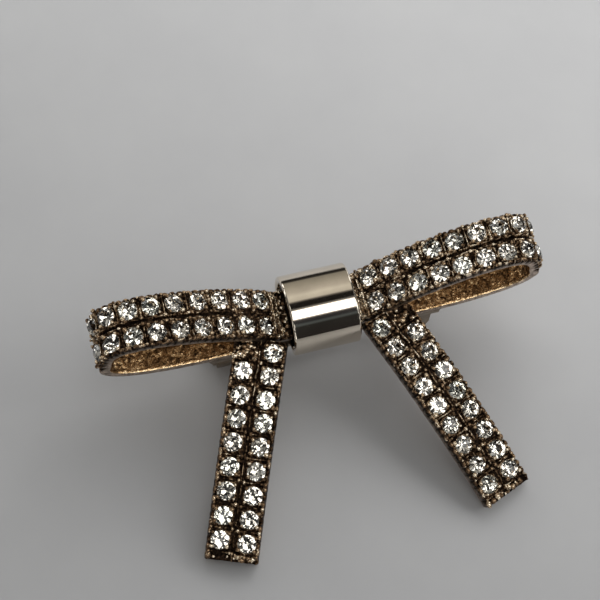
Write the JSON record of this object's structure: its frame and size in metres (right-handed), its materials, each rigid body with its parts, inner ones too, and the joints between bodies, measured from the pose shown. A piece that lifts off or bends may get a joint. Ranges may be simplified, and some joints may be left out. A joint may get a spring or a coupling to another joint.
{
  "type": "brooch",
  "caption": "Ribbon-bow brooch with stone-set loops and tails, a polished knot band, and a hinged pin with a roller safety catch behind.",
  "frame": {"origin": "middle of the brooch's footprint on the surface it lies on, pin side down", "axes": "+Z out of the front of the bow, +Y towards its top edge, +X to the right as seen from the front"},
  "size_m": [0.052, 0.0302, 0.0149],
  "materials": {
    "antique_gold": "cast, antiqued: dark brown in the recesses, light gold on the raised edges and beads",
    "champagne_polish": "mirror-polished pale gold plate with a fine brushed grain",
    "nickel": "dull plated strip",
    "steel": "drawn bright wire",
    "solder": "dull, flowed",
    "stone": "clear foiled-back round brilliants, polished"
  },
  "bodies": {
    "brooch": {"catch_housing": "nickel", "centre_core": "antique_gold", "hinge_bracket": "nickel", "hinge_rivet": "steel", "knot_band": "champagne_polish", "loop_left": "antique_gold", "loop_right": "antique_gold", "pin_bar": "nickel", "solder_left": "solder", "solder_right": "solder", "stones_loop_left_lower": "stone", "stones_loop_left_upper": "stone", "stones_loop_right_lower": "stone", "stones_loop_right_upper": "stone", "stones_tail_left_inner": "stone", "stones_tail_left_outer": "stone", "stones_tail_right_inner": "stone", "stones_tail_right_outer": "stone", "tail_left": "antique_gold", "tail_right": "antique_gold"},
    "pin": {"pin_stem": "steel"},
    "roller": {"catch_roller": "nickel"}
  },
  "joints": [
    {"name": "pin_hinge", "type": "hinge", "parent": "brooch", "child": "pin", "pos_m": [0.0116, 0.01057, 0.00165], "axis": [0, -1, 0], "range_deg": [0, 100]},
    {"name": "roller_turn", "type": "hinge", "parent": "brooch", "child": "roller", "pos_m": [-0.011, 0.01057, 0.00165], "axis": [1, 0, 0], "range_deg": [0, 130]}
  ]
}
